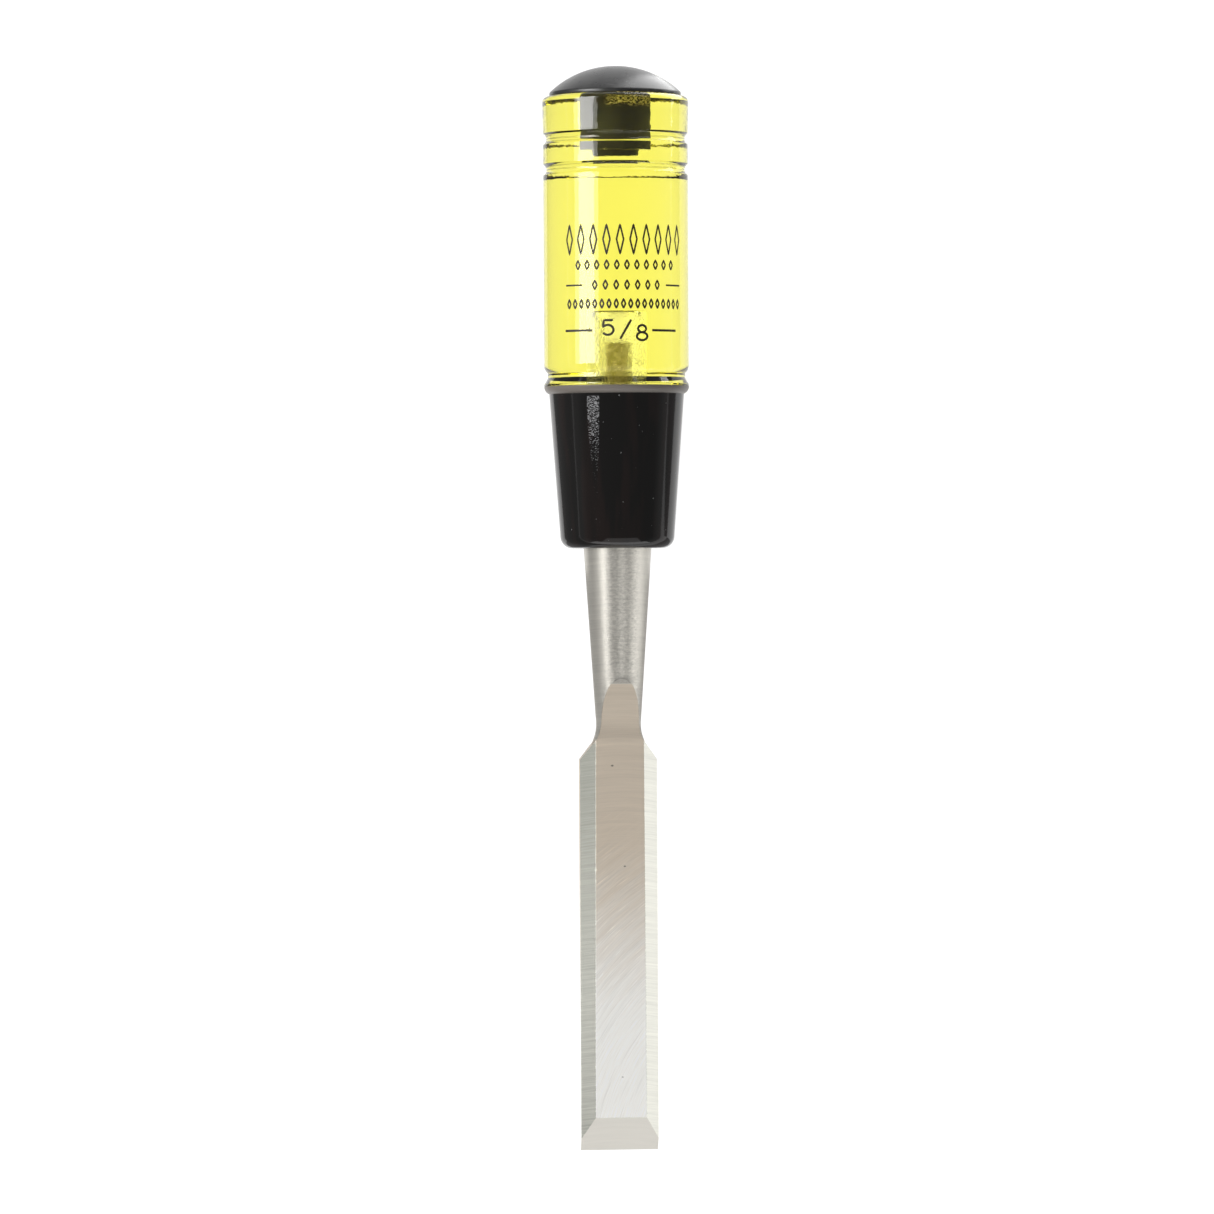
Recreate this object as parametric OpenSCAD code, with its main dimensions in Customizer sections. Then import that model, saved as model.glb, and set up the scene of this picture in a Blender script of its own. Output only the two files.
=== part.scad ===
// Bench chisel, lying with its long axis along Y: the cutting edge points to -Y, the strike
// cap to +Y, and the flat back of the blade faces -Z. The origin is on the tool's axis, in
// the middle of the plain grip. All sizes are in millimetres.

/* [Blade] */
// Width of the blade
blade_w = 15.875; // [12:0.125:25]
// Length of the blade, from the cutting edge to the foot of the shoulders
blade_l = 79.65; // [50:0.05:140]
// Thickness where the cutting bevel meets the face
tip_t = 3.15; // [2.4:0.05:4]
// Thickness at the shoulders
root_t = 3.9; // [2.9:0.05:5]
// Depth of the flat back below the tool's axis
back_drop = 1.9; // [1.2:0.1:2.6]
// Angle of the cutting bevel, in degrees
edge_angle = 25; // [20:1:35]
// Width of each side bevel in plan, near the cutting edge
bevel_w_tip = 2.7; // [1.5:0.05:3.2]
// Width of each side bevel in plan, at the shoulders
bevel_w_root = 3; // [1.5:0.05:3.4]
// Slope of the side bevels, in degrees
bevel_slope = 36.5; // [25:0.5:40]
// Angle between the shoulders and the axis, in degrees
shoulder_angle = 38; // [30:1:50]

/* [Shank] */
// Length from the foot of the shoulders to the mouth of the collar
shank_l = 42.95; // [30:0.05:70]
// Diameter at the neck, the thinnest place
neck_d = 9.1; // [7.5:0.1:11]
// Diameter at the mouth of the collar
shank_d = 13.8; // [11.5:0.1:17]
// Radius of the flare from the neck into the shoulders
flare_r = 9; // [6:0.5:12]
// Radius of the wheel that ground the face and the back, seen where they run out
runout_r = 35; // [25:1:50]
// Straight length of the face and the back past the foot of the shoulders
runout_lead = 2.3; // [1:0.1:4]

/* [Tang] */
// Length of full shank that seats inside the collar and the handle
seat_l = 6; // [4.5:0.5:9]
// Length of the square tang past its seat
tang_l = 35.8; // [20:0.2:44]
// Side of the square tang at its root
tang_w = 5.9; // [4:0.1:7.5]
// Side of the square tang at its end
tang_end_w = 4.4; // [3:0.1:5.5]

/* [Collar] */
// Length of the collar
collar_l = 32.95; // [25:0.05:45]
// Step in from the grip to its cone, under the flange
flange_step = 0.9; // [0.4:0.05:1.4]
// Diameter of its cone at the mouth
collar_end_d = 22.9; // [21:0.1:25]
// Rounding of the edge at the mouth
collar_end_r = 2.5; // [1:0.1:3]
// Wall of the sleeve
collar_wall = 2.3; // [1.5:0.1:2.6]
// Thickness of the end wall at the mouth
collar_floor = 3; // [2:0.1:3.5]
// Rounding of the flange under the handle
flange_r = 1.65; // [1.2:0.05:2]

/* [Handle] */
// Length of the handle that shows, from the collar to the cap
handle_l = 59.05; // [48:0.05:85]
// Diameter of the grip
grip_d = 29.5; // [27:0.1:36]
// Step out from the grip to the head, under the cap
head_flare = 0.15; // [0:0.05:0.6]
// Rounding of the edge at the head
head_edge_r = 1.2; // [0.4:0.1:1.4]
// Radius of the section of each round groove
groove_r = 1.3; // [0.9:0.05:1.6]
// Depth of each round groove
groove_depth = 0.65; // [0.3:0.05:0.85]
// Distance from the head to the first round groove
groove_first = 8.7; // [7:0.1:11]
// Distance between the two round grooves
groove_pitch = 6.25; // [4:0.05:9]
// Height of the thin lip at the collar
lip_l = 0.45; // [0.3:0.05:1]
// Depth of the groove above the lip
neck_depth = 0.75; // [0.4:0.05:0.9]
// Length of the sloping side of that groove
neck_slope_l = 1.25; // [0.8:0.05:2]
// Length of the flat bottom of that groove
neck_flat_l = 0.95; // [0.5:0.05:2]
// Rounding of the grip above that groove
grip_edge_r = 2.1; // [1.2:0.1:3]

/* [Strike cap] */
// Flat rim of the head that shows around the cap
cap_margin = 0.3; // [0.1:0.05:1.5]
// Height of the straight band around the cap
cap_band = 0.8; // [0.5:0.1:3]
// Height of the domed face above that band
dome_h = 5.41; // [2:0.01:8]
// Diameter of the stem in the handle
stem_d = 9.8; // [6:0.1:14]
// Length of the stem
stem_l = 11.2; // [8:0.1:14]
// Diameter of the pip on the end of the stem
pip_d = 6.3; // [3:0.1:8]
// Length of the pip
pip_l = 1.3; // [0.8:0.1:2.5]

/* [Fits] */
// Radial gap around the shank in its seat
seat_clear = 0.05; // [0.02:0.01:0.15]
// Radial glue gap around the sleeve and the stem
glue_gap = 0.05; // [0.02:0.01:0.1]
// Gap between the corners of the tang and its hole
tang_gap = 0.08; // [0.05:0.01:0.5]
// Air left above the end of the tang in its blind hole
tang_end_gap = 6.35; // [1:0.05:8]

/* [Hidden] */
$fn = 96;

steel = "#c9c6bd";
black = "#26262a";
amber = "#f2de3c";

grip_r = grip_d / 2;
head_r = grip_r + head_flare;
cap_r = head_r - head_edge_r - cap_margin;
neck_r = neck_d / 2;
shank_r = shank_d / 2;
groove_off = groove_r - groove_depth;
groove_half = sqrt(groove_r * groove_r - groove_off * groove_off);

// Stations along Y. The plain grip runs from the neck groove to the second round groove.
neck_zone = lip_l + neck_slope_l + neck_flat_l
    + sqrt(grip_edge_r * grip_edge_r - pow(grip_edge_r - neck_depth, 2));
grip_l = handle_l - neck_zone - groove_first - groove_pitch - groove_half;
handle_y = -grip_l / 2 - neck_zone;
head_y = handle_y + handle_l;
collar_y = handle_y - collar_l;
floor_y = collar_y + collar_floor;
seat_y = collar_y + seat_l;
shoulder_y = collar_y - shank_l;
edge_y = shoulder_y - blade_l;

// Blade section: the face rises from the cutting bevel to the shoulders, then runs out.
back_z = -back_drop;
bevel_l = tip_t / tan(edge_angle);
face_rise = atan((root_t - tip_t) / (blade_l - bevel_l));
face_y = edge_y + bevel_l;
face_z = back_z + tip_t;
run_y = shoulder_y + runout_lead;
run_z = back_z + root_t + runout_lead * tan(face_rise);

// Flare from the neck: a concave arc that ends just inside the shoulders.
flare_sink = 0.1;
flare_x = neck_r + flare_r * (1 - cos(shoulder_angle));
flare_y = shoulder_y + (blade_w / 2 - flare_x) / tan(shoulder_angle)
    + flare_r * sin(shoulder_angle) - flare_sink;
flare_lap = 0.02;
shoulder_depth = 0.75;
shoulder_in = neck_r * shoulder_depth;

// Sleeve and spigot share one taper, a wall apart.
collar_end = collar_end_d / 2;
collar_top = grip_r - flange_step;
collar_taper = atan((collar_top - collar_end) / collar_l);
spigot_top = collar_top - collar_wall;
spigot_end = collar_end + collar_floor * tan(collar_taper) - collar_wall;

// The hole for the tang: round, over the corners of the square, with air past its end.
tang_hole_r = tang_w / sqrt(2) + tang_gap;
tang_hole_end = seat_y + tang_l + tang_end_gap;

dome_r = (cap_r * cap_r + dome_h * dome_h) / (2 * dome_h);
cut = 2;
deep = 20;

// Turns a profile, drawn with the radius along x and the station along y, about the Y axis.
module turned() {
    rotate([-90, 0, 0]) rotate_extrude() children();
}

// Extrudes a profile, drawn with Y along x and Z along y, across the blade.
module across() {
    rotate([90, 0, 90]) translate([0, 0, -deep]) linear_extrude(2 * deep) children();
}

module plate() {
    shoulder_len = (blade_w / 2 - shoulder_in) / tan(shoulder_angle);
    half = [
        [blade_w / 2, edge_y - cut / 2],
        [blade_w / 2, shoulder_y],
        [shoulder_in, shoulder_y + shoulder_len]
    ];
    mirrored = [for (i = [len(half) - 1:-1:0]) [-half[i].x, half[i].y]];
    translate([0, 0, -neck_r]) linear_extrude(neck_d) polygon(concat(half, mirrored));
}

// The shank's cone starts a hair inside the arc of the flare, so the two cross cleanly.
module shank_profile() {
    flare_end = flare_y - flare_r * sin(shoulder_angle);
    difference() {
        polygon([
            [0, flare_end], [neck_r + flare_r, flare_end], [neck_r + flare_r, flare_y],
            [neck_r + flare_lap, flare_y], [shank_r, collar_y], [shank_r, seat_y], [0, seat_y]
        ]);
        translate([neck_r + flare_r, flare_y]) circle(flare_r, $fn = 180);
    }
}

// Square forged tang: a taper seen from above, cut by the same taper seen from the side.
module tang() {
    taper = [
        [seat_y - cut, tang_w / 2], [seat_y, tang_w / 2], [seat_y + tang_l, tang_end_w / 2],
        [seat_y + tang_l, -tang_end_w / 2], [seat_y, -tang_w / 2], [seat_y - cut, -tang_w / 2]
    ];
    intersection() {
        across() polygon(taper);
        translate([0, 0, -deep]) linear_extrude(2 * deep)
            polygon([for (p = taper) [p.y, p.x]]);
    }
}

// All that the wheel takes off above the blade, with the cutting bevel.
module face_cut() {
    across() {
        polygon([
            [edge_y - cut, back_z - cut * tan(edge_angle)], [face_y, face_z], [run_y, run_z],
            [run_y, deep], [edge_y - cut, deep]
        ]);
        translate([run_y - runout_r * sin(face_rise), run_z + runout_r * cos(face_rise)])
            circle(runout_r, $fn = 360);
    }
}

module back_cut() {
    across() {
        translate([edge_y - cut, back_z - deep]) square([run_y - edge_y + cut, deep]);
        translate([run_y, back_z - runout_r]) circle(runout_r, $fn = 360);
    }
}

// One side bevel: a block whose lower face is the bevel, laid along the edge of the face.
module side_bevel_cut() {
    start = [blade_w / 2 - bevel_w_tip, face_y, face_z];
    turn = atan((bevel_w_root - bevel_w_tip) / (shoulder_y - face_y));
    before = bevel_l + cut;
    translate(start) rotate([face_rise, 0, turn]) rotate([0, bevel_slope, 0])
        translate([-1, -before, 0]) cube([deep, before + flare_y - face_y, deep / 2]);
}

module blade() {
    color(steel) difference() {
        union() {
            plate();
            turned() shank_profile();
            tang();
        }
        face_cut();
        back_cut();
        side_bevel_cut();
        mirror([1, 0, 0]) side_bevel_cut();
    }
}

module collar_outside() {
    round_x = collar_end + collar_end_r * (tan(collar_taper) - 1 / cos(collar_taper));
    round_y = collar_y + collar_end_r;
    polygon([
        [0, collar_y], [round_x, collar_y], [round_x, round_y],
        [round_x + collar_end_r * cos(collar_taper), round_y - collar_end_r * sin(collar_taper)],
        [collar_top, handle_y], [0, handle_y]
    ]);
    translate([round_x, round_y]) circle(collar_end_r);
    intersection() {
        translate([grip_r - flange_r, handle_y]) circle(flange_r);
        translate([0, handle_y - flange_r]) square([grip_r, flange_r]);
    }
    translate([0, handle_y - flange_r / 2]) square([grip_r - flange_r, flange_r / 2]);
}

module collar() {
    color(black) turned() difference() {
        collar_outside();
        translate([0, collar_y - cut]) square([shank_r + seat_clear, collar_l]);
        polygon([
            [0, floor_y], [spigot_end + glue_gap, floor_y], [spigot_top + glue_gap, handle_y],
            [spigot_top + glue_gap, handle_y + cut], [0, handle_y + cut]
        ]);
    }
}

// The groove above the lip: a slope, a flat, and the rounded foot of the grip.
module neck_groove() {
    top = handle_y + neck_zone;
    lip = handle_y + lip_l;
    difference() {
        polygon([
            [grip_r, lip], [grip_r - neck_depth, lip + neck_slope_l], [grip_r - neck_depth, top],
            [grip_r + cut, top], [grip_r + cut, lip]
        ]);
        translate([grip_r - grip_edge_r, top]) circle(grip_edge_r);
    }
}

module handle_outside() {
    polygon([
        [0, floor_y + glue_gap], [spigot_end, floor_y + glue_gap], [spigot_top, handle_y],
        [0, handle_y]
    ]);
    difference() {
        polygon([
            [0, handle_y], [grip_r, handle_y], [grip_r, head_y - groove_first],
            [head_r, head_y - head_edge_r], [head_r, head_y], [0, head_y]
        ]);
        difference() {
            translate([head_r - head_edge_r, head_y - head_edge_r]) square(head_edge_r + cut);
            translate([head_r - head_edge_r, head_y - head_edge_r]) circle(head_edge_r);
        }
        neck_groove();
        for (i = [0, 1])
            translate([grip_r + groove_off, head_y - groove_first - i * groove_pitch])
                circle(groove_r);
    }
}

module handle() {
    color(amber) turned() difference() {
        handle_outside();
        translate([0, collar_y]) square([shank_r + seat_clear, seat_l]);
        translate([0, collar_y]) square([tang_hole_r, tang_hole_end - collar_y]);
        translate([0, head_y - stem_l]) square([stem_d / 2 + glue_gap, stem_l + cut]);
        translate([0, head_y - stem_l - pip_l]) square([pip_d / 2 + glue_gap, pip_l + cut]);
    }
}

module strike_cap() {
    color(black) turned() {
        translate([0, head_y]) square([cap_r, cap_band]);
        intersection() {
            translate([0, head_y + cap_band + dome_h - dome_r]) circle(dome_r, $fn = 240);
            translate([0, head_y + cap_band - cut / 4]) square([cap_r, dome_h + cut]);
        }
        translate([0, head_y - stem_l]) square([stem_d / 2, stem_l + cut / 4]);
        translate([0, head_y - stem_l - pip_l]) square([pip_d / 2, pip_l + cut / 4]);
    }
}

blade();
collar();
handle();
strike_cap();
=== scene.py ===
import math
import bpy
import bmesh
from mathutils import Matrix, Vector


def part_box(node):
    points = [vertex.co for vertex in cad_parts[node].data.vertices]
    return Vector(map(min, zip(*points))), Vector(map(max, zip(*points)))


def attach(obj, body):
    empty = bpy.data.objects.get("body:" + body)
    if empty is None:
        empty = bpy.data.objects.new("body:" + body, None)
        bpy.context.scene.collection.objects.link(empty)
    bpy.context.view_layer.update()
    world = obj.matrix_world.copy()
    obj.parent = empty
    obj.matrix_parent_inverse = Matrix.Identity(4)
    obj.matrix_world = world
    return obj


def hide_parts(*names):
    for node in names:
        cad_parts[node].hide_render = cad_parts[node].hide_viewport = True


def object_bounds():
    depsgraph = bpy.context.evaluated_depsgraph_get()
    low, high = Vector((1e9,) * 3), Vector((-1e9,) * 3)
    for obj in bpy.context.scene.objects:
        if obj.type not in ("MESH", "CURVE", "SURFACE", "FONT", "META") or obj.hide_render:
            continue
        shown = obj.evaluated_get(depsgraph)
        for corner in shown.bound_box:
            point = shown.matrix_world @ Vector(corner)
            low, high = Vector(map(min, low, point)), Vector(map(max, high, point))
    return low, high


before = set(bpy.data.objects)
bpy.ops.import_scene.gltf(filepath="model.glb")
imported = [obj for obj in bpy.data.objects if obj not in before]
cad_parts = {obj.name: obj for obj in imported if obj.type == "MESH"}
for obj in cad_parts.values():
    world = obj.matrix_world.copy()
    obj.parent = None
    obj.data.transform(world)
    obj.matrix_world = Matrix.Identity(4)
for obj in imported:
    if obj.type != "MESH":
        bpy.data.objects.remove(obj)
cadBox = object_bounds()
scene = bpy.context.scene
mm = 0.001

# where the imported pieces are, in millimetres along Y
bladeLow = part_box("blade")[0] / mm
collarLow, collarHigh = (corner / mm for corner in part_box("collar"))
handleLow, handleHigh = (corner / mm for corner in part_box("handle"))
capLow, capHigh = (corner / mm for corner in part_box("strike_cap"))
edgeY = bladeLow.y
collarY = collarLow.y
handleY = collarHigh.y
headY = handleHigh.y
print("frame loaded: edge at", round(edgeY, 2), "collar at", round(collarY, 2),
      "head at", round(headY, 2))


class Value:  # one socket of a node graph, with plain arithmetic
    def __init__(self, graph, socket):
        self.graph = graph
        self.socket = socket

    def __add__(self, other):
        return self.graph.maths("ADD", self, other)

    def __radd__(self, other):
        return self.graph.maths("ADD", other, self)

    def __sub__(self, other):
        return self.graph.maths("SUBTRACT", self, other)

    def __rsub__(self, other):
        return self.graph.maths("SUBTRACT", other, self)

    def __mul__(self, other):
        return self.graph.maths("MULTIPLY", self, other)

    def __rmul__(self, other):
        return self.graph.maths("MULTIPLY", other, self)

    def __truediv__(self, other):
        return self.graph.maths("DIVIDE", self, other)

    def __rtruediv__(self, other):
        return self.graph.maths("DIVIDE", other, self)


class Graph:  # a node tree of a material, of the world or of a geometry modifier
    def __init__(self, tree):
        self.tree = tree

    def add(self, kind, settings=None, sockets=None):
        node = self.tree.nodes.new(kind)
        for name, value in (settings or {}).items():
            if name == "stops":
                ramp = node.color_ramp
                while len(ramp.elements) < len(value):
                    ramp.elements.new(0.5)
                for element, (place, colour) in zip(ramp.elements, value):
                    element.position = place
                    element.color = (*colour, 1)
            else:
                setattr(node, name, value)
        for name, value in (sockets or {}).items():
            if isinstance(value, Value):
                self.tree.links.new(value.socket, node.inputs[name])
            else:
                node.inputs[name].default_value = value
        return node

    def out(self, kind, settings=None, sockets=None, output=0):
        return Value(self, self.add(kind, settings, sockets).outputs[output])

    def maths(self, operation, *values):
        return self.out("ShaderNodeMath", {"operation": operation}, dict(enumerate(values)))

    def ramp(self, value, low, high):  # 0 at low, 1 at high, smooth between
        return self.out("ShaderNodeMapRange", {"interpolation_type": "SMOOTHSTEP"},
                        {"Value": value, "From Min": low, "From Max": high})

    def within(self, value, centre, half, soft):  # 1 where value is near centre
        return 1 - self.ramp(self.maths("ABSOLUTE", value - centre), half, half + soft)

    def vector(self, x, y, z):
        return self.out("ShaderNodeCombineXYZ", None, {"X": x, "Y": y, "Z": z})

    def noise(self, vector, scale=1.0, detail=2.0, rough=0.5):
        return self.out("ShaderNodeTexNoise", {"noise_dimensions": "3D"},
                        {"Vector": vector, "Scale": scale, "Detail": detail, "Roughness": rough})

    def cells(self, vector, scale, output="Distance"):
        return self.out("ShaderNodeTexVoronoi", None, {"Vector": vector, "Scale": scale}, output)

    def blendColours(self, factor, first, second):
        return self.out("ShaderNodeMix", {"data_type": "RGBA"}, {0: factor, 6: first, 7: second}, 2)

    def brighten(self, colour, amount):  # scales a colour or a vector by a value
        return self.out("ShaderNodeVectorMath", {"operation": "SCALE"},
                        {"Vector": colour, "Scale": amount})

    def bump(self, height, depth, strength=1.0, normal=None):
        sockets = {"Height": height, "Distance": depth, "Strength": strength}
        if normal is not None:
            sockets["Normal"] = normal
        return self.out("ShaderNodeBump", None, sockets)

    def place(self):  # object coordinates in millimetres
        point = self.out("ShaderNodeTexCoord", None, None, "Object")
        scaled = self.brighten(point, 1 / mm)
        return scaled, self.parts(scaled)

    def parts(self, vector):  # the three parts of a vector
        split = self.add("ShaderNodeSeparateXYZ", None, {"Vector": vector})
        return [Value(self, socket) for socket in split.outputs]


def newFinish(name):
    material = bpy.data.materials.new(name)
    material.use_nodes = True
    material.node_tree.nodes.clear()
    return material, Graph(material.node_tree)


def surface(graph, sockets):
    shader = graph.add("ShaderNodeBsdfPrincipled", None, sockets)
    output = graph.add("ShaderNodeOutputMaterial")
    graph.tree.links.new(shader.outputs[0], output.inputs["Surface"])
    return output


def rgb(red, green, blue):
    return (red, green, blue, 1)


# Ground steel. Sizes are in millimetres, and t runs up the tool from the cutting edge.
steelLook = dict(
    # the paler face colour is a painted sheen toward the tip
    warm=rgb(0.69, 0.60, 0.49), tipSheenPale=rgb(1.0, 0.99, 0.95), shank=rgb(0.66, 0.635, 0.575),
    # the bevel colours hold painted light: painted shade on the left bevel, deeper up the tool, and a
    # painted highlight on the right bevel
    leftBevelShaded=rgb(0.52, 0.52, 0.468), leftUpperShaded=rgb(0.242, 0.244, 0.215),
    rightBevelLit=rgb(0.72, 0.715, 0.65), tip=rgb(0.56, 0.54, 0.495),
    tang=rgb(0.38, 0.32, 0.14), tangPale=rgb(0.96, 0.86, 0.60),
    bladeEnd=(82.5, 84.5), tongueStart=(80, 82), tongueTop=95.0,
    runY=-97.58, runZ=37.022, runRadius=35,  # the wheel that ground the face, where it runs out
    arcX=47, arcT=-7, lineStep=3.4,  # the middle of the cup wheel, and lines per millimetre
    faceTip=5.237, faceTaper=0.0041, bevelEnd=6.755,  # half the width of the face, and its taper
    pits=((-1.6, 78.4, 0.24, 0.7), (0.9, 57.9, 0.2, 0.7), (0.3, 15.0, 0.2, 0.4)),  # x, t, size, depth
    nickGlint=(-5.05, 57.2), grainDepth=0.000012)


def steelFinish():
    material, graph = newFinish("groundSteel")
    look = steelLook
    x, y, z = graph.place()[1]
    t = y - edgeY
    nx, ny, nz = graph.parts(graph.out("ShaderNodeNewGeometry", None, None, "True Normal"))
    onLeft = 1 - graph.ramp(x, -1, 1)

    onBlade = 1 - graph.ramp(t, *look["bladeEnd"])
    slope = graph.maths("ABSOLUTE", nx)
    sideBevel = graph.ramp(slope, 0.45, 0.55) * (1 - graph.ramp(slope, 0.7, 0.8)) * onBlade
    tipBevel = graph.ramp(-1 * ny, 0.3, 0.38) * (1 - graph.ramp(t, 8, 9)) * graph.ramp(nz, 0.5, 0.7)
    flat = graph.ramp(graph.maths("ABSOLUTE", nz), 0.93, 0.97) * onBlade
    # the tongue, where the wheel runs out into the neck: all that lies on the wheel's own round
    runOut = y - look["runY"]
    wheel = look["runZ"] - graph.maths("SQRT", look["runRadius"] ** 2 - runOut * runOut)
    wheelCut = 1 - graph.ramp(graph.maths("ABSOLUTE", z - wheel), 0.05, 0.12)
    wheelCut = wheelCut * graph.ramp(t, *look["tongueStart"])
    hood = wheelCut * graph.ramp(t, look["tongueTop"] - 0.1, look["tongueTop"] + 0.15)
    tongue = wheelCut - hood
    isTang = graph.ramp(y, collarY + 7, collarY + 9)

    # lines across the tool: turning marks on the shank, wheel marks on the bevels and the tongue
    bend = x * x * 0.012
    across = graph.noise(graph.vector(x * 0.10, (t + bend) * look["lineStep"], z * 0.10), 1, 3, 0.6)
    coarse = graph.noise(graph.vector(x * 0.05, (t + bend) * 0.9, z * 0.05), 1, 2, 0.6)
    # arcs of the cup wheel, over the lower part of the face
    reachX = x - look["arcX"]
    reachT = t - look["arcT"]
    radius = graph.maths("SQRT", reachX * reachX + reachT * reachT)
    alongArc = graph.maths("ARCTAN2", reachT, -1 * reachX) * radius
    arcs = graph.noise(graph.vector(radius * 4.4, alongArc * 0.12, 3), 1, 4, 0.66)
    arcsWide = graph.noise(graph.vector(radius * 0.7, alongArc * 0.05, 11), 1, 2, 0.5)
    deepArcs = graph.noise(graph.vector(radius * 4.2, alongArc * 0.16, 23), 1, 1, 0.5)
    deepArcs = graph.ramp(deepArcs, 0.64, 0.74)
    # leathery grain down the middle of the shank
    leather = graph.noise(graph.vector(x * 1.3, t * 2.4, z * 0.8), 1, 4, 0.7)

    lower = 1 - graph.ramp(t + (across - 0.5) * 12, 56, 74)
    arcShare = lower * flat
    lines = graph.out("ShaderNodeMix", None, {0: arcShare, 2: across, 3: arcs})

    # the face is painted paler toward the tip, a painted sheen for the front light it reflects there
    towardTip = 1 - graph.ramp(t + (arcsWide - 0.5) * 18, 22, 66)
    faceColour = graph.blendColours(towardTip, look["warm"], look["tipSheenPale"])
    onFace = graph.maths("MAXIMUM", onBlade, tongue)
    colour = graph.blendColours(onFace, look["shank"], faceColour)
    # painted shade on the left bevel, darker up the tool, and a painted highlight on the right bevel, for
    # how the side lights fall on them
    shadedLeftColour = graph.blendColours(graph.ramp(t, 12, 84), look["leftBevelShaded"], look["leftUpperShaded"])
    litAndShadedBevelColour = graph.blendColours(onLeft, look["rightBevelLit"], shadedLeftColour)
    colour = graph.blendColours(sideBevel, colour, litAndShadedBevelColour)
    colour = graph.blendColours(tipBevel, colour, look["tip"])
    contrast = 0.34 - flat * 0.10 + arcShare * 0.32 + sideBevel * (0.12 + onLeft * 0.3)
    tone = 1 + (lines - 0.5) * contrast * (1 - tipBevel * 0.7)
    tone = tone + (coarse - 0.5) * 0.16 * (1 - arcShare)
    tone = tone + deepArcs * arcShare * 0.24 - graph.ramp(arcsWide, 0.5, 0.3) * arcShare * 0.06

    # small pits, as left by rust, and a painted glint at a chip on the edge of the face
    for pitX, pitT, size, depth in look["pits"]:
        away = (x - pitX) * (x - pitX) + (t - pitT) * (t - pitT) * 2.2
        pit = 1 - graph.ramp(away, size * size * 0.3, size * size * 2.2)
        tone = tone * (1 - depth * pit * graph.ramp(nz, 0.5, 0.8))
    # a painted highlight along the left edge of the face, and painted shade along the right edge
    edgeX = look["faceTip"] - (t - look["bevelEnd"]) * look["faceTaper"]
    paintedRim = graph.within(graph.maths("ABSOLUTE", x) - edgeX, 0, 0.04, 0.08) * onBlade
    paintedRim = paintedRim * graph.ramp(t, 6.8, 7.5)
    tone = tone + paintedRim * (onLeft * (0.22 + 0.4 * graph.ramp(coarse, 0.5, 0.7)) - (1 - onLeft) * 0.14)
    # painted glint where the chip in the edge of the face catches the light
    nickX, nickT = x - look["nickGlint"][0], t - look["nickGlint"][1]
    nickGlint = 1 - graph.ramp(nickX * nickX * 2 + nickT * nickT, 0.03, 0.2)
    tone = tone + nickGlint * 0.45 * onBlade * graph.ramp(nz, 0.3, 0.6)
    # painted shade on the tongue, deepening toward the neck
    tone = tone * (1 - tongue * graph.ramp(t, 82.6, 84.8) * 0.34)
    # the middle of the shank is darker and grainy, and has painted shade above the tongue and over the hood
    # of the wheel cut
    onShank = (1 - onFace) * (1 - isTang)
    middle = 1 - graph.ramp(graph.maths("ABSOLUTE", x - 0.2), 2.4, 4.4)
    tone = tone + ((leather - 0.5) * 1.1 - 0.10) * onShank * middle
    shadeAboveTongue = graph.within(t, look["tongueTop"] + 0.7, 0.2, 1.3) * graph.within(x, 0.7, 0.9, 1.9)
    shadeAboveTongue = graph.maths("MAXIMUM", shadeAboveTongue * graph.ramp(nz, 0.3, 0.6) * 0.6, hood)
    tone = tone * (1 - shadeAboveTongue * onShank * (0.30 + graph.ramp(leather, 0.35, 0.6) * 0.25))
    colour = graph.brighten(colour, tone)

    # the forged tang is left black and scaly
    scale = graph.noise(graph.vector(x * 1.7, y * 1.5, z * 1.7), 1, 4, 0.7)
    forged = graph.blendColours(graph.ramp(scale, 0.44, 0.62), look["tang"], look["tangPale"])
    colour = graph.blendColours(isTang, colour, forged)

    rough = 0.40 + (lines - 0.5) * 0.22 + flat * 0.06 + tipBevel * 0.02 - paintedRim * 0.1 - sideBevel * 0.05
    rough = rough + isTang * 0.2
    grain = graph.noise(graph.vector(x * 2.2, t * 5, z * 2.2), 1, 2, 0.6)
    height = lines + grain * onShank * 0.5 + scale * isTang * 6 + leather * onShank * 3
    bumped = graph.bump(height, look["grainDepth"], 0.8)
    metal = 0.78 - flat * 0.08 - towardTip * flat * 0.2 - isTang * 0.4
    surface(graph, {"Base Color": colour, "Metallic": metal, "Roughness": rough, "Normal": bumped})
    return material


blackLook = dict(
    base=rgb(0.0035, 0.0032, 0.003), warm=rgb(0.007, 0.0045, 0.004), dust=rgb(0.12, 0.12, 0.12),
    # the light streak colour is a painted reflection, and the flange colour a painted sheen
    streakX=-6.5, streakHalf=1.0, streakDrop=24, streakReflectionPale=rgb(0.19, 0.19, 0.195),
    flange=rgb(0.125, 0.110, 0.096), ior=1.42, grainDepth=0.000012)


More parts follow.
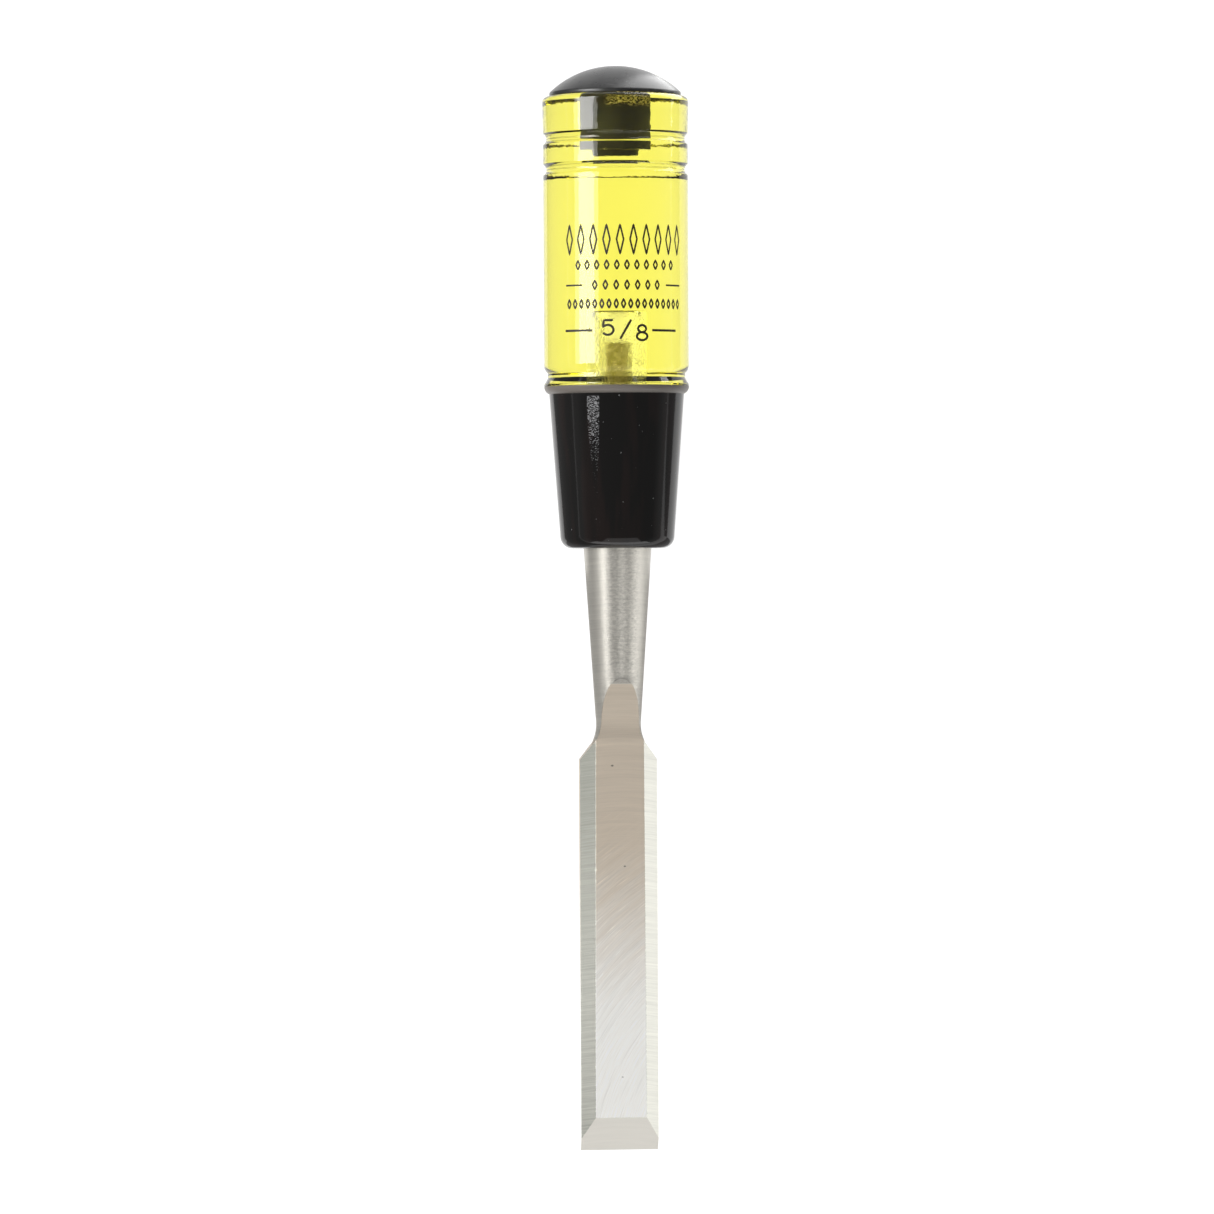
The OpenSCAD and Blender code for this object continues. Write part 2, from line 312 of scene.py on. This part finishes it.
def collarFinish():
    material, graph = newFinish("glossBlackPlastic")
    point, (x, y, z) = graph.place()
    flow = graph.noise(graph.vector(x * 0.35, y * 0.04, z * 0.35), 1, 2, 0.5)  # drawn out along the mould
    ripple = graph.noise(graph.vector(x * 0.5, y * 2.6, z * 0.5), 1, 3, 0.7)
    peel = graph.noise(point, 0.9, 2, 0.5)
    specks = graph.ramp(graph.noise(point, 1.3, 1, 0.4), 0.775, 0.81)
    scuffs = graph.ramp(graph.noise(graph.vector(x * 0.8, y * 0.12, z * 0.8), 1, 4, 0.7), 0.63, 0.8)
    colour = graph.blendColours(graph.ramp(flow, 0.45, 0.62), blackLook["base"], blackLook["warm"])
    colour = graph.blendColours(specks * 0.7, colour, blackLook["dust"])
    # a painted reflection of the side light, drawn as fine light flecks in a band under the flange
    flecks = graph.noise(graph.vector(x * 3.2, y * 4.4, z * 0.6), 1, 2, 0.7)
    fade = graph.ramp(y, handleY - blackLook["streakDrop"], handleY - 3)
    drift = blackLook["streakX"] + (1 - fade) * 0.7
    reflectedStreak = graph.within(x, drift, 0.3 + fade * (blackLook["streakHalf"] - 0.3), 0.25)
    reflectedStreak = reflectedStreak * graph.ramp(z, 2, 5) * (1 - graph.ramp(y, handleY - 2.4, handleY - 2.1))
    reflectedStreak = reflectedStreak * graph.ramp(flecks + (fade - 1) * 0.22, 0.45, 0.60)
    colour = graph.blendColours(reflectedStreak, colour, blackLook["streakReflectionPale"])
    # the flange is painted a lighter grey, a painted sheen for the grey reflection along its rounding, and
    # made rougher
    onFlange = graph.ramp(y, handleY - 1.66, handleY - 1.46)
    colour = graph.blendColours(onFlange, colour, blackLook["flange"])
    rough = 0.10 + scuffs * 0.14 + (flow - 0.5) * 0.06 + specks * 0.3 + reflectedStreak * 0.3 + onFlange * 0.25
    upper = graph.ramp(y, collarY + 10, handleY - 3)
    height = ripple * (0.35 + upper * 0.9) + peel * 0.7 + flow * 2
    bumped = graph.bump(height, blackLook["grainDepth"], 0.5)
    surface(graph, {"Base Color": colour, "Roughness": rough, "Normal": bumped, "IOR": blackLook["ior"]})
    return material


capLook = dict(
    dark=rgb(0.010, 0.010, 0.0105), dusty=rgb(0.028, 0.028, 0.0275), scratch=rgb(0.11, 0.11, 0.11),
    stem=rgb(0.012, 0.011, 0.009), stemTop=rgb(0.045, 0.035, 0.012), fleckGlint=rgb(1.0, 0.86, 0.45),
    grainDepth=0.00003, ior=1.5)


def capFinish():
    material, graph = newFinish("satinBlackPlastic")
    point, (x, y, z) = graph.place()
    dust = graph.noise(point, 0.35, 3, 0.6)
    grain = graph.noise(point, 3.5, 3, 0.6)
    strikes = graph.ramp(graph.cells(point, 0.42), 0.16, 0.05) * graph.ramp(y, headY + 3.5, headY + 5)
    drawn = graph.vector(x * 0.25 + z * 0.1, y * 0.25, z * 2.4 - x * 0.8)
    scratches = graph.ramp(graph.noise(drawn, 1, 3, 0.7), 0.64, 0.72)
    onDome = graph.ramp(y, headY, headY + 0.3)
    colour = graph.blendColours(graph.ramp(dust, 0.35, 0.75), capLook["dark"], capLook["dusty"])
    colour = graph.blendColours(scratches * 0.35, colour, capLook["scratch"])
    # glue round the top of the stem, and painted glints where air is caught there, golden through the handle
    stemTop = graph.ramp(y, headY - 3.6, headY - 0.8) * (1 - onDome)
    flecks = graph.noise(graph.vector(x * 2.3, y * 2.6, z * 2.3), 1, 4, 0.75)
    goldGlints = graph.ramp(flecks + stemTop * 0.10, 0.57, 0.62) * graph.ramp(stemTop, 0.3, 0.9)
    goldGlints = goldGlints * graph.ramp(x, -2.6, -1.2)
    stem = graph.blendColours(stemTop * 0.8, capLook["stem"], capLook["stemTop"])
    colour = graph.blendColours(1 - onDome, colour, stem)
    colour = graph.blendColours(goldGlints, colour, capLook["fleckGlint"])
    rough = 0.3 + (dust - 0.5) * 0.2 + scratches * 0.15 + strikes * 0.1 + (1 - onDome) * 0.35
    height = grain * 0.8 + dust * 1.2 - strikes * 2 - scratches
    bumped = graph.bump(height, capLook["grainDepth"], 0.6)
    surface(graph, {"Base Color": colour, "Roughness": rough, "Normal": bumped, "IOR": capLook["ior"]})
    return material


amberLook = dict(absorb=rgb(1.0, 0.970, 0.032), density=72.0, ior=1.47, polish=0.012, grainDepth=0.00001)


def handleFinish():
    material, graph = newFinish("clearAmberPlastic")
    point, (x, y, z) = graph.place()
    polish = graph.noise(graph.vector(x * 0.2, y * 1.6, z * 0.2), 1, 3, 0.6)  # faint turning lines
    wave = graph.noise(point, 0.12, 1, 0.5)
    rub = graph.ramp(graph.noise(graph.vector(x * 0.9, y * 0.2, z * 0.9), 1, 4, 0.7), 0.60, 0.76)
    rough = amberLook["polish"] + rub * 0.035
    reach = graph.maths("SQRT", x * x + z * z)
    holeEnd = handleSize["tangHoleEnd"]
    inHole = (1 - graph.ramp(reach, 4.6, 5.4)) * (1 - graph.ramp(y, holeEnd - 3, holeEnd))
    mottle = graph.noise(point, 1.9, 3, 0.6)
    wobble = graph.noise(point, 0.5, 2, 0.5) * graph.ramp(y, headY - 18, headY - 16)
    height = polish * 0.25 + wave * 6 + wobble * 9 + mottle * inHole * 80
    bumped = graph.bump(height, amberLook["grainDepth"], 0.5)
    output = surface(graph, {"Base Color": rgb(1, 1, 1), "Roughness": rough, "Normal": bumped,
                             "IOR": amberLook["ior"], "Transmission Weight": 1.0})
    volume = graph.add("ShaderNodeVolumeAbsorption", None,
                       {"Color": amberLook["absorb"], "Density": amberLook["density"]})
    graph.tree.links.new(volume.outputs[0], output.inputs["Volume"])
    return material


inkLook = dict(full=rgb(0.006, 0.004, 0.002), worn=rgb(0.022, 0.016, 0.006), grainDepth=0.00001)


def inkFinish():
    material, graph = newFinish("stampedInk")
    worn = graph.noise(graph.place()[0], 2.6, 3, 0.7)
    colour = graph.blendColours(graph.ramp(worn, 0.42, 0.62), inkLook["full"], inkLook["worn"])
    bumped = graph.bump(worn, inkLook["grainDepth"], 0.5)
    surface(graph, {"Base Color": colour, "Roughness": 0.42 + worn * 0.2, "Normal": bumped})
    return material


steel = steelFinish()
blackGloss = collarFinish()
blackSatin = capFinish()
ink = inkFinish()
print("finishes made")


# the turned pieces are profiles of (radius, station) in millimetres, swept round the Y axis
def arc(centre, radius, start, end, steps=10):  # angles in degrees
    turns = [math.radians(start + (end - start) * i / steps) for i in range(steps + 1)]
    return [(centre[0] + radius * math.cos(a), centre[1] + radius * math.sin(a)) for a in turns]


def softened(points, radius, sharp=25):  # rounds each sharp corner of a profile a little
    made = [points[0]]
    for before, corner, after in zip(points, points[1:], points[2:]):
        a, b, c = Vector(before), Vector(corner), Vector(after)
        inward, onward = b - a, c - b
        if inward.length < 1e-6 or onward.length < 1e-6 or math.degrees(inward.angle(onward)) < sharp:
            made.append(corner)
            continue
        cut = min(radius, inward.length * 0.45, onward.length * 0.45)
        start, end = b - inward.normalized() * cut, b + onward.normalized() * cut
        for i in range(5):
            share = i / 4
            made.append(tuple(start.lerp(b, share).lerp(b.lerp(end, share), share)))
    made.append(points[-1])
    return made


def held(points, hold=0.05, least=0.5):  # keeps long straight runs straight under smooth shading
    made = [points[0]]
    for before, after in zip(points, points[1:]):
        a, b = Vector(before), Vector(after)
        run = b - a
        if run.length > least:
            step = run.normalized() * hold
            made += [tuple(a + step), tuple(b - step)]
        made.append(after)
    return made


def endTree(graph, geometry, finish):  # every tree ends in real geometry with one finish
    whole = graph.out("GeometryNodeRealizeInstances", None, {"Geometry": geometry})
    coated = graph.out("GeometryNodeSetMaterial", None, {"Geometry": whole, "Material": finish})
    result = graph.add("NodeGroupOutput")
    graph.tree.links.new(coated.socket, result.inputs[0])


def turningTree():  # sweeps a profile, held as the points of a mesh, round the Y axis
    tree = bpy.data.node_groups.new("turnProfile", "GeometryNodeTree")
    face = tree.interface
    face.new_socket("Profile", in_out="INPUT", socket_type="NodeSocketGeometry")
    facets = face.new_socket("Facets", in_out="INPUT", socket_type="NodeSocketInt")
    weld = face.new_socket("Weld", in_out="INPUT", socket_type="NodeSocketFloat")
    coat = face.new_socket("Finish", in_out="INPUT", socket_type="NodeSocketMaterial")
    face.new_socket("Turned", in_out="OUTPUT", socket_type="NodeSocketGeometry")
    graph = Graph(tree)
    given = graph.add("NodeGroupInput")
    profile, count, distance, finish = [Value(graph, socket) for socket in given.outputs[:4]]
    points = graph.out("GeometryNodeAttributeDomainSize", {"component": "MESH"},
                       {"Geometry": profile}, "Point Count")
    columns = count + 1
    grid = graph.out("GeometryNodeMeshGrid", None, {"Vertices X": points, "Vertices Y": columns})
    index = graph.out("GeometryNodeInputIndex")
    row = graph.maths("FLOOR", (index + 0.5) / columns)
    column = index - row * columns
    source = graph.out("GeometryNodeSampleIndex", {"data_type": "FLOAT_VECTOR", "domain": "POINT"},
                       {"Geometry": profile, "Value": graph.out("GeometryNodeInputPosition"), "Index": row})
    radius, station = graph.parts(source)[:2]
    angle = column * 2 * math.pi / count
    swept = graph.vector(radius * graph.maths("SINE", angle), station, radius * graph.maths("COSINE", angle))
    moved = graph.out("GeometryNodeSetPosition", None, {"Geometry": grid, "Position": swept})
    welded = graph.out("GeometryNodeMergeByDistance", None, {"Geometry": moved, "Distance": distance})
    smooth = graph.out("GeometryNodeSetShadeSmooth", None, {"Geometry": welded})
    endTree(graph, smooth, finish)
    return tree, {"facets": facets.identifier, "weld": weld.identifier, "finish": coat.identifier}


def polylines(name, lines):  # a mesh of edges; a line whose ends meet is closed
    points, edges = [], []
    for line in lines:
        closed = (Vector(line[0]) - Vector(line[-1])).length < 1e-9
        start = len(points)
        used = line[:-1] if closed else line
        points += [(px * mm, py * mm, 0) for px, py in used]
        edges += [(start + i, start + i + 1) for i in range(len(used) - 1)]
        if closed:
            edges.append((start + len(used) - 1, start))
    mesh = bpy.data.meshes.new(name)
    mesh.from_pydata(points, edges, [])
    made = bpy.data.objects.new(name, mesh)
    scene.collection.objects.link(made)
    return made


def frozen(source, name, tree, inputs):  # runs a geometry tree once and keeps its result as a plain mesh
    modifier = source.modifiers.new("nodes", "NODES")
    modifier.node_group = tree
    for identifier, value in inputs.items():
        modifier[identifier] = value
    graph = bpy.context.evaluated_depsgraph_get()
    mesh = bpy.data.meshes.new_from_object(source.evaluated_get(graph))
    source.modifiers.remove(modifier)
    bpy.data.objects.remove(source)
    mesh.name = name
    made = bpy.data.objects.new(name, mesh)
    scene.collection.objects.link(made)
    return made


def outward(piece, sharp=32):
    shape = bmesh.new()
    shape.from_mesh(piece.data)
    bmesh.ops.remove_doubles(shape, verts=shape.verts, dist=1e-7)
    bmesh.ops.dissolve_degenerate(shape, edges=shape.edges, dist=1e-8)
    bmesh.ops.recalc_face_normals(shape, faces=shape.faces)
    openEdges = sum(1 for edge in shape.edges if not edge.is_manifold)
    shape.to_mesh(piece.data)
    shape.free()
    piece.data.set_sharp_from_angle(angle=math.radians(sharp))
    print(piece.name, len(piece.data.polygons), "faces,", openEdges, "open edges")


turnProfile, turnInputs = turningTree()


def turnedPiece(name, profile, finish, facets=176):
    points = [(px * mm, py * mm, 0) for px, py in profile]
    mesh = bpy.data.meshes.new(name + "Profile")
    mesh.from_pydata(points, [(i, i + 1) for i in range(len(points) - 1)], [])
    source = bpy.data.objects.new(name + "Profile", mesh)
    scene.collection.objects.link(source)
    made = frozen(source, name, turnProfile, {
        turnInputs["facets"]: facets, turnInputs["weld"]: 1e-6, turnInputs["finish"]: finish})
    outward(made)
    return made


handleSize = dict(
    grip=14.75, head=14.9, headEdge=1.2,
    grooveRadius=1.3, grooveDepth=0.65, grooveFirst=8.7, groovePitch=6.25,
    lip=0.45, neckDepth=0.75, neckSlope=1.25, neckFlat=0.95, gripEdge=2.1, edge=0.06,
    tangHole=4.252, tangHoleEnd=-8.42, tangHoleCorner=0.35, seat=6.95, seatEnd=-50.57,
    spigotEnd=9.602, spigotTop=11.55, seam=0.03, stem=4.86, stemEnd=24.21, pip=3.11, pipEnd=22.91)


def handleProfile():
    s = handleSize
    top = handleY + s["lip"] + s["neckSlope"] + s["neckFlat"]
    bite = s["gripEdge"] - s["neckDepth"]
    top += math.sqrt(s["gripEdge"] ** 2 - bite ** 2)
    entry = math.degrees(math.acos(bite / s["gripEdge"]))
    off = s["grooveRadius"] - s["grooveDepth"]
    mouth = math.degrees(math.acos(off / s["grooveRadius"]))
    under = handleY + s["seam"]
    bore = [(0, s["tangHoleEnd"])]
    bore += arc((s["tangHole"] - s["tangHoleCorner"], s["tangHoleEnd"] - s["tangHoleCorner"]),
                s["tangHoleCorner"], 90, 0, 5)
    spigot = [(s["tangHole"], s["seatEnd"]), (s["seat"], s["seatEnd"]), (s["seat"], handleLow.y),
              (s["spigotEnd"], handleLow.y), (s["spigotTop"], under)]
    neck = [(s["grip"], under), (s["grip"], handleY + s["lip"]),
            (s["grip"] - s["neckDepth"], handleY + s["lip"] + s["neckSlope"])]
    foot = arc((s["grip"] - s["gripEdge"], top), s["gripEdge"], -entry, 0, 12)
    grooves = []
    for i in (1, 0):
        centre = (s["grip"] + off, headY - s["grooveFirst"] - i * s["groovePitch"])
        grooves += arc(centre, s["grooveRadius"], 180 + mouth, 180 - mouth, 16)
    head = arc((s["head"] - s["headEdge"], headY - s["headEdge"]), s["headEdge"], 0, 90, 10)
    stem = [(s["stem"], headY), (s["stem"], s["stemEnd"]), (s["pip"], s["stemEnd"]),
            (s["pip"], s["pipEnd"]), (0, s["pipEnd"])]
    return held(softened(bore + spigot + neck + foot + grooves + head + stem, s["edge"]))


collarSize = dict(
    bore=6.95, floor=3.0, endRadius=11.45, endRound=2.5, topRadius=13.85, flange=1.65, grip=14.75,
    sleeveEnd=9.652, sleeveTop=11.6, edge=0.15)


def collarProfile():
    s = collarSize
    length = handleY - collarY
    taper = math.atan((s["topRadius"] - s["endRadius"]) / length)
    roundX = s["endRadius"] + s["endRound"] * (math.tan(taper) - 1 / math.cos(taper))
    roundY = collarY + s["endRound"]
    meet = -90.0  # the angle on the flange's rounding where the cone runs into it
    while True:
        reach = s["grip"] - s["flange"] + s["flange"] * math.cos(math.radians(meet))
        if reach > s["topRadius"] + s["flange"] * math.sin(math.radians(meet)) * math.tan(taper):
            break
        meet += 0.25
    points = [(s["bore"], collarY)]
    points += arc((roundX, roundY), s["endRound"], -90, -math.degrees(taper), 14)
    points += arc((s["grip"] - s["flange"], handleY), s["flange"], meet, 0, 12)
    points += [(s["sleeveTop"], handleY), (s["sleeveEnd"], collarY + s["floor"]),
               (s["bore"], collarY + s["floor"]), (s["bore"], collarY)]
    return held(softened(points, s["edge"]))


capSize = dict(radius=13.4, dome=5.41, stem=4.9, stemEnd=24.23, pip=3.15, rimEdge=0.3)


def capProfile():
    s = capSize
    ball = (s["radius"] ** 2 + s["dome"] ** 2) / (2 * s["dome"])
    swing = math.degrees(math.asin(s["radius"] / ball))
    points = arc((0, capHigh.y - ball), ball, 90, 90 - swing, 40)
    points[0] = (0, capHigh.y)
    points += [(s["radius"], headY), (s["stem"], headY), (s["stem"], s["stemEnd"]),
               (s["pip"], s["stemEnd"]), (s["pip"], capLow.y), (0, capLow.y)]
    return held(softened(points, s["rimEdge"], 20))


amber = handleFinish()
handle = turnedPiece("handleBody", handleProfile(), amber)
collar = turnedPiece("collarSleeve", collarProfile(), blackGloss)
cap = turnedPiece("strikeCap", capProfile(), blackSatin)
for piece, node, slot in ((handle, "handle", "handle_plastic"), (collar, "collar", "collar_plastic"),
                          (cap, "strike_cap", "cap_plastic")):
    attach(piece, "root")
    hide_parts(node)
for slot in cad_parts["blade"].material_slots:
    slot.material = steel
print("turned pieces made")


# the size mark and the ornament are thin strokes wrapped on the grip
markSize = dict(stroke=0.48, thick=0.03, lift=0.012, step=0.25,
                five=(-3.75, -12.1), slash=(-0.2, -12.5), eight=(3.25, -13.15), dashY=-12.65,
                leftDash=(-13.4, -7.0), rightDash=(5.5, 11.9))


def shifted(points, place):
    return [(px + place[0], py + place[1]) for px, py in points]


def ellipse(centre, wide, tall, start=0, end=360, steps=28):
    turns = [math.radians(start + (end - start) * i / steps) for i in range(steps + 1)]
    return [(centre[0] + wide * math.cos(a), centre[1] + tall * math.sin(a)) for a in turns]


def markLines():
    s = markSize
    five = [(1.0, 1.45), (-0.85, 1.45), (-1.05, 0.15)] + ellipse((-0.05, -0.5), 1.15, 1.0, 142, -148, 22)
    upper = ellipse((0, 0.78), 0.86, 0.72)
    lower = ellipse((0, -0.74), 1.14, 0.80)
    upper[-1], lower[-1] = upper[0], lower[0]
    lines = [shifted(five, s["five"]), shifted([(-1.1, -1.95), (1.15, 1.95)], s["slash"]),
             shifted(upper, s["eight"]), shifted(lower, s["eight"])]
    lines += [[(x0, s["dashY"]), (x1, s["dashY"])] for x0, x1 in (s["leftDash"], s["rightDash"])]
    return lines


patternSize = dict(
    stroke=0.36, ruleY=-3.5, rules=((-13.2, -9.2), (9.0, 13.4)), middle=0.15,
    # each row: its station, half the height and half the width of a lozenge, the pitch and the count
    rows=((5.7, 3.0, 0.72, 2.75, 10), (0.55, 0.95, 0.46, 2.06, 11),
          (-3.5, 0.95, 0.46, 2.2, 7), (-7.3, 0.95, 0.40, 1.47, 18)))


def patternLines():  # plain ornament: rows of slim lozenges between short rules
    s = patternSize
    lines = [[(x0, s["ruleY"]), (x1, s["ruleY"])] for x0, x1 in s["rules"]]
    for rowY, tall, wide, pitch, count in s["rows"]:
        for i in range(count):
            px = (i - (count - 1) / 2) * pitch + s["middle"]
            corners = [(px, rowY + tall), (px + wide, rowY), (px, rowY - tall), (px - wide, rowY)]
            lines.append(corners + corners[:1])
    return lines


def wrappingTree():  # gives flat strokes a width and lays them round the grip
    tree = bpy.data.node_groups.new("wrapStrokes", "GeometryNodeTree")
    face = tree.interface
    face.new_socket("Strokes", in_out="INPUT", socket_type="NodeSocketGeometry")
    names = ("Width", "Thickness", "Radius", "Step")
    sizes = [face.new_socket(name, in_out="INPUT", socket_type="NodeSocketFloat") for name in names]
    coat = face.new_socket("Finish", in_out="INPUT", socket_type="NodeSocketMaterial")
    face.new_socket("Mark", in_out="OUTPUT", socket_type="NodeSocketGeometry")
    graph = Graph(tree)
    given = graph.add("NodeGroupInput")
    strokes, width, thickness, radius, step, finish = [Value(graph, socket) for socket in given.outputs[:6]]
    curves = graph.out("GeometryNodeMeshToCurve", None, {"Mesh": strokes})
    upright = graph.out("GeometryNodeSetCurveNormal", {"mode": "Z_UP"}, {"Curve": curves})
    even = graph.out("GeometryNodeResampleCurve", {"mode": "LENGTH"}, {"Curve": upright, "Length": step})
    section = graph.out("GeometryNodeCurvePrimitiveQuadrilateral", {"mode": "RECTANGLE"},
                        {"Width": width, "Height": thickness})
    ribbon = graph.out("GeometryNodeCurveToMesh", None,
                       {"Curve": even, "Profile Curve": section, "Fill Caps": True})
    along, station, lift = graph.parts(graph.out("GeometryNodeInputPosition"))
    angle = along / radius
    reach = radius + lift
    wrapped = graph.vector(reach * graph.maths("SINE", angle), station, reach * graph.maths("COSINE", angle))
    moved = graph.out("GeometryNodeSetPosition", None, {"Geometry": ribbon, "Position": wrapped})
    endTree(graph, moved, finish)
    return tree, {name: item.identifier for name, item in zip(names + ("Finish",), sizes + [coat])}


wrapStrokes, wrapInputs = wrappingTree()
for name, lines, stroke in (("sizeMark", markLines(), markSize["stroke"]),
                            ("gripPattern", patternLines(), patternSize["stroke"])):
    mark = frozen(polylines(name + "Lines", lines), name, wrapStrokes, {
        wrapInputs["Width"]: stroke * mm, wrapInputs["Thickness"]: markSize["thick"] * mm,
        wrapInputs["Radius"]: (handleSize["grip"] + markSize["lift"]) * mm,
        wrapInputs["Step"]: markSize["step"] * mm, wrapInputs["Finish"]: ink})
    outward(mark)
    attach(mark, "root")
print("size mark made")


# floor, light and camera: the first line is in millimetres, the other lengths are in metres
studio = dict(
    floorGap=0.1, cardLift=1.0, axisX=-2.2, viewY=-68.5,
    floorHalf=9.0, floorGlow=0.95, floorColour=rgb(0.20, 0.20, 0.20),
    cardColour=rgb(0.03, 0.03, 0.03), horizon=0.42, zenith=0.24,
    # each card: two corners on the floor, and how strongly it glows
    cards=dict(
        darkCard=((-0.60, -0.35), (-0.024, 0.30), 0.22),
        sideCard=((0.060, -0.062), (0.80, 0.044), 0.22),
        paleCard=((0.014, 0.046), (0.60, 0.60), 4.2),
        shankCard=((0.009, -0.095), (0.060, -0.062), 0.30),
        shankCardLeft=((-0.024, -0.095), (-0.009, -0.062), 0.30)),
    # side boxes: angle from the vertical, distance, station, two sides, strength, and whether they
    # leave the steel out or light nothing else
    sideBoxes=dict(
        wideBox=(-55.9, 0.9, 0.305, 0.60, 0.66, 4.3, "EXCLUDE"),
        coreBox=(-55.5, 0.9, 0.305, 0.60, 0.42, 7.6, "EXCLUDE"),
        steelLeft=(-58, 0.5, -0.055, 0.20, 0.21, 4.2, "INCLUDE"),
        steelRight=(67, 0.6, -0.14, 0.36, 0.42, 1.3, "INCLUDE")),
    # the others: place, aim, two sides, strength
    tipBox=((0.14, -0.38, 0.95), (0, -0.17, 0), 0.40, 0.30, 1.9),
    frontBoxes=dict(
        frontBox=((0.05, -0.92, 0.77), (0, -0.03, 0), 1.4, 1.0, 0.8),
        lowBox=((0.05, -1.1, 0.20), (0.05, 0, 0.20), 1.8, 0.42, 2.0),
        headBox=((0.65, 0.9, 0.75), (0, 0, 0), 0.8, 0.5, 1.6)),
    distance=1.5245, lens=222.0, camAngle=8.0, camRoll=0.31)  # lens in millimetres, angles in degrees
floorLevel = cadBox[0].z - studio["floorGap"] * mm


def flatSheet(name, finishName, low, high, level, colour, glow):  # a level rectangle that glows
    mesh = bpy.data.meshes.new(name)
    corners = ((low[0], low[1]), (high[0], low[1]), (high[0], high[1]), (low[0], high[1]))
    mesh.from_pydata([(px, py, level) for px, py in corners], [], [(0, 1, 2, 3)])
    made = bpy.data.objects.new(name, mesh)
    scene.collection.objects.link(made)
    material, graph = newFinish(finishName)
    surface(graph, {"Base Color": colour, "Roughness": 0.9, "Specular IOR Level": 0.1,
                    "Emission Color": rgb(1, 1, 1), "Emission Strength": glow})
    mesh.materials.append(material)
    return made


def makeFloor():
    half = studio["floorHalf"]
    made = flatSheet("floor", "paleFloor", (-half, -half), (half, half), floorLevel,
                     studio["floorColour"], studio["floorGlow"])


def makeCard(name, low, high, glow):  # a card on the floor, seen only in reflections and through the handle
    made = flatSheet(name, name, low, high, floorLevel + studio["cardLift"] * mm, studio["cardColour"], glow)
    made.visible_camera = False
    made.visible_shadow = False
    made.visible_diffuse = False


def makeWorld():
    world = bpy.data.worlds.new("studio")
    scene.world = world
    world.use_nodes = True
    world.node_tree.nodes.clear()
    graph = Graph(world.node_tree)
    direction = graph.out("ShaderNodeTexCoord", None, None, "Generated")
    dark = graph.ramp(graph.parts(direction)[2], 0.10, 0.45)
    strength = studio["horizon"] + dark * (studio["zenith"] - studio["horizon"])
    background = graph.add("ShaderNodeBackground", None, {"Color": rgb(1, 1, 1), "Strength": strength})
    output = graph.add("ShaderNodeOutputWorld")
    graph.tree.links.new(background.outputs[0], output.inputs["Surface"])


def softBox(name, place, aim, wide, long, radiance):
    light = bpy.data.lights.new(name, "AREA")
    light.shape = "RECTANGLE"
    light.size = wide
    light.size_y = long
    light.energy = radiance * math.pi * wide * long
    made = bpy.data.objects.new(name, light)
    scene.collection.objects.link(made)
    made.location = place
    made.rotation_mode = "QUATERNION"
    made.rotation_quaternion = (Vector(aim) - Vector(place)).to_track_quat("-Z", "Y")
    made.visible_camera = False
    return made


def lightOnly(light, pieces, state):  # state "INCLUDE" or "EXCLUDE"
    group = bpy.data.collections.new(light.name + "Pieces")
    for piece in pieces:
        group.objects.link(piece)
    for entry in group.collection_objects:
        entry.light_linking.link_state = state
    light.light_linking.receiver_collection = group


def around(angle, distance, y):  # a place at an angle from the vertical, positive to the right
    turn = math.radians(angle)
    return (math.sin(turn) * distance, y, math.cos(turn) * distance)


makeFloor()
for name, (low, high, glow) in studio["cards"].items():
    makeCard(name, low, high, glow)
makeWorld()
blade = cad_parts["blade"]
for name, (angle, distance, station, wide, long, radiance, state) in studio["sideBoxes"].items():
    box = softBox(name, around(angle, distance, station), (0, station, 0), wide, long, radiance)
    lightOnly(box, [blade], state)
lightOnly(softBox("steelTip", *studio["tipBox"]), [blade], "INCLUDE")
for name, sizes in studio["frontBoxes"].items():
    softBox(name, *sizes)

lens = bpy.data.cameras.new("camera")
lens.lens = studio["lens"]
lens.sensor_width = 36
lens.clip_start = 0.05
lens.clip_end = 50
camera = bpy.data.objects.new("camera", lens)
scene.collection.objects.link(camera)
scene.camera = camera
tilt = math.radians(studio["camAngle"])
side = Vector((math.cos(tilt), 0, math.sin(tilt)))
away = Vector((-math.sin(tilt), 0, math.cos(tilt)))
target = side * studio["axisX"] * mm + Vector((0, studio["viewY"] * mm, 0))
camera.location = target + away * studio["distance"]
camera.rotation_mode = "XYZ"
camera.rotation_euler = (0, -tilt, 0)
camera.rotation_euler.rotate_axis("Z", -math.radians(studio["camRoll"]))
scene.view_settings.view_transform = "Standard"
print("studio made")
